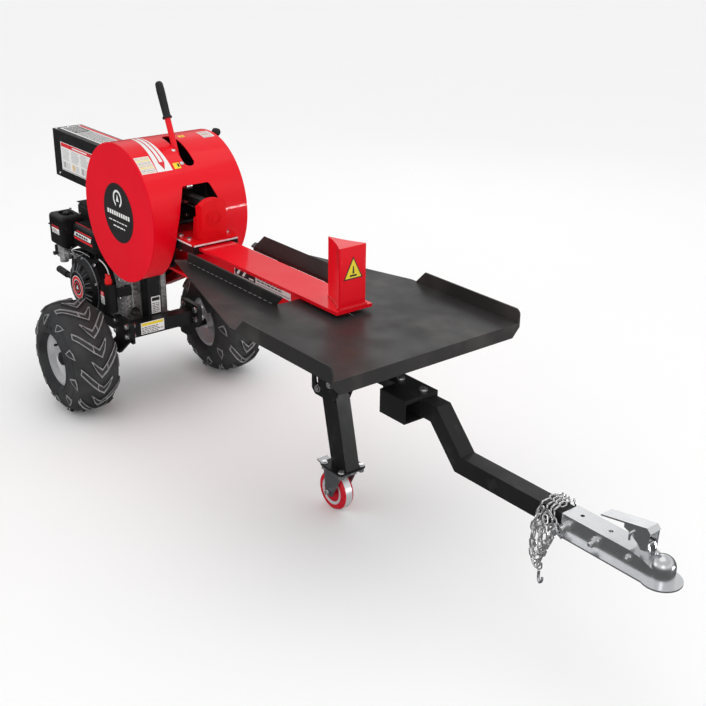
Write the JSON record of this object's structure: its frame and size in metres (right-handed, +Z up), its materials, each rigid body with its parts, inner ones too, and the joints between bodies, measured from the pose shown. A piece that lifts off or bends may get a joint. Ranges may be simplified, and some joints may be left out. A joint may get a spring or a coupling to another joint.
{
  "type": "log splitter",
  "caption": "Towable kinetic log splitter: engine-driven flywheels in a drum throw a toothed ram along a beam at a fixed wedge, with a log table, a ball coupler and a folding caster leg.",
  "frame": {"origin": "centre of the footprint at ground level", "axes": "+X from the engine to the tow coupler, +Y from the recoil-starter side to the belt side, +Z up"},
  "size_m": [2.935, 0.796, 1.1668],
  "materials": {
    "red_gloss": "gloss",
    "red_ram": "gloss",
    "black_frame": "satin",
    "black_table": "satin",
    "engine_black": "satin",
    "engine_alloy": "matte",
    "muffler_black": "matte",
    "machined_steel": "satin",
    "cast_black": "matte",
    "zinc": "gloss",
    "bolt_zinc": "satin",
    "rim_silver": "satin",
    "tyre_rubber": "matte",
    "grip_rubber": "matte",
    "belt_rubber": "matte",
    "caster_red": "satin",
    "switch_red": "gloss",
    "spring_steel": "satin"
  },
  "bodies": {
    "frame": {"main_beam": "red_gloss", "wedge": "red_gloss", "bearing_frame": "black_frame", "shaft_bearings": "cast_black", "drive_belt": "belt_rubber", "drum_disc": "red_gloss", "belt_guard": "red_gloss", "drum_skin": "red_gloss", "rack_cover": "black_frame", "return_springs": "spring_steel", "table": "black_table", "table_supports": "black_frame", "hitch_receiver": "black_frame", "tow_bar": "black_frame", "coupler_body": "zinc", "safety_chain": "zinc", "leg_bracket": "black_frame", "axle_beam": "black_frame", "stub_axles": "bolt_zinc", "engine_deck": "black_frame", "crankcase": "engine_alloy", "cylinder": "engine_alloy", "blower_housing": "engine_black", "recoil_starter": "engine_black", "fuel_tank": "engine_black", "air_cleaner": "engine_black", "muffler": "muffler_black", "carburettor": "engine_alloy", "switch_box": "engine_black", "frame_bolts": "bolt_zinc"},
    "ram": {"ram_rack": "machined_steel", "ram_block": "red_ram", "ram_base_plate": "red_ram", "ram_keepers": "black_frame", "ram_bolts": "bolt_zinc"},
    "rotor": {"flywheel_shaft": "machined_steel", "flywheels": "cast_black", "pinion": "machined_steel", "driven_pulley": "cast_black"},
    "crank": {"engine_pulley": "cast_black"},
    "lever": {"engage_lever": "red_gloss", "lever_grip": "grip_rubber"},
    "lever_roller": {"press_roller": "machined_steel"},
    "stand_leg": {"leg": "black_frame", "leg_lock_bolt": "bolt_zinc", "caster_top": "rim_silver", "caster_bolts": "bolt_zinc"},
    "caster_swivel": {"caster_fork": "rim_silver"},
    "caster_roll": {"caster_wheel": "caster_red"},
    "brake_pedal": {"caster_brake": "zinc"},
    "wheel_near": {"rim_near": "rim_silver", "tyre_near": "tyre_rubber"},
    "wheel_far": {"rim_far": "rim_silver", "tyre_far": "tyre_rubber"},
    "latch": {"coupler_latch": "zinc", "latch_pin": "zinc"},
    "starter_grip": {"recoil_grip": "grip_rubber"},
    "tank_cap": {"fuel_cap": "engine_black"},
    "throttle": {"throttle_lever": "bolt_zinc"},
    "ignition_switch": {"engine_switch": "switch_red"}
  },
  "joints": [
    {"name": "ram_stroke", "type": "slide", "parent": "frame", "child": "ram", "axis": [1, 0, 0], "range_m": [0, 0.5], "stiffness_N_per_m": 120, "springref_m": -0.25, "deforming": ["return_springs"]},
    {"name": "flywheel_spin", "type": "hinge", "parent": "frame", "child": "rotor", "pos_m": [-0.7265, 0, 0.745], "axis": [0, 1, 0], "continuous": true},
    {"name": "crank_spin", "type": "hinge", "parent": "frame", "child": "crank", "pos_m": [-1.0725, 0, 0.384], "axis": [0, 1, 0], "continuous": true},
    {"name": "lever_pull", "type": "hinge", "parent": "frame", "child": "lever", "pos_m": [-0.6005, 0, 0.858], "axis": [0, 1, 0], "range_deg": [0, 25], "stiffness_Nm_per_rad": 12, "springref_deg": -22.92},
    {"name": "roller_spin", "type": "hinge", "parent": "lever", "child": "lever_roller", "pos_m": [-0.5705, 0, 0.846], "axis": [0, 1, 0], "continuous": true},
    {"name": "leg_fold", "type": "hinge", "parent": "frame", "child": "stand_leg", "pos_m": [0.2485, 0, 0.426], "axis": [0, 1, 0], "range_deg": [0, 86]},
    {"name": "caster_swivel_turn", "type": "hinge", "parent": "stand_leg", "child": "caster_swivel", "pos_m": [0.2705, 0, 0.14], "axis": [0, 0, 1], "continuous": true},
    {"name": "caster_wheel_spin", "type": "hinge", "parent": "caster_swivel", "child": "caster_roll", "pos_m": [0.2425, 0, 0.063], "axis": [0, 1, 0], "continuous": true},
    {"name": "brake_press", "type": "hinge", "parent": "caster_swivel", "child": "brake_pedal", "pos_m": [0.2205, 0, 0.13], "axis": [0, 1, 0], "range_deg": [-12, 0]},
    {"name": "wheel_near_spin", "type": "hinge", "parent": "frame", "child": "wheel_near", "pos_m": [-0.8875, 0, 0.203], "axis": [0, 1, 0], "continuous": true},
    {"name": "wheel_far_spin", "type": "hinge", "parent": "frame", "child": "wheel_far", "pos_m": [-0.8875, 0, 0.203], "axis": [0, 1, 0], "continuous": true},
    {"name": "latch_lift", "type": "hinge", "parent": "frame", "child": "latch", "pos_m": [1.3735, 0, 0.438], "axis": [0, 1, 0], "range_deg": [0, 60]},
    {"name": "starter_pull", "type": "slide", "parent": "frame", "child": "starter_grip", "axis": [-1, 0, 0], "range_m": [0, 0.4], "stiffness_N_per_m": 30, "springref_m": -0.3},
    {"name": "cap_turn", "type": "hinge", "parent": "frame", "child": "tank_cap", "pos_m": [-1.0755, -0.05, 0.618], "axis": [0, 0, 1], "range_deg": [0, 110]},
    {"name": "throttle_swing", "type": "hinge", "parent": "frame", "child": "throttle", "pos_m": [-1.0875, -0.14, 0.498], "axis": [0, 0, 1], "range_deg": [-25, 25]},
    {"name": "switch_turn", "type": "hinge", "parent": "frame", "child": "ignition_switch", "pos_m": [-0.8795, -0.163, 0.46], "axis": [0, 0, 1], "range_deg": [0, 90]}
  ],
  "couplings": [
    {"joint": "crank_spin", "follows": "flywheel_spin", "ratio": 4.697}
  ]
}
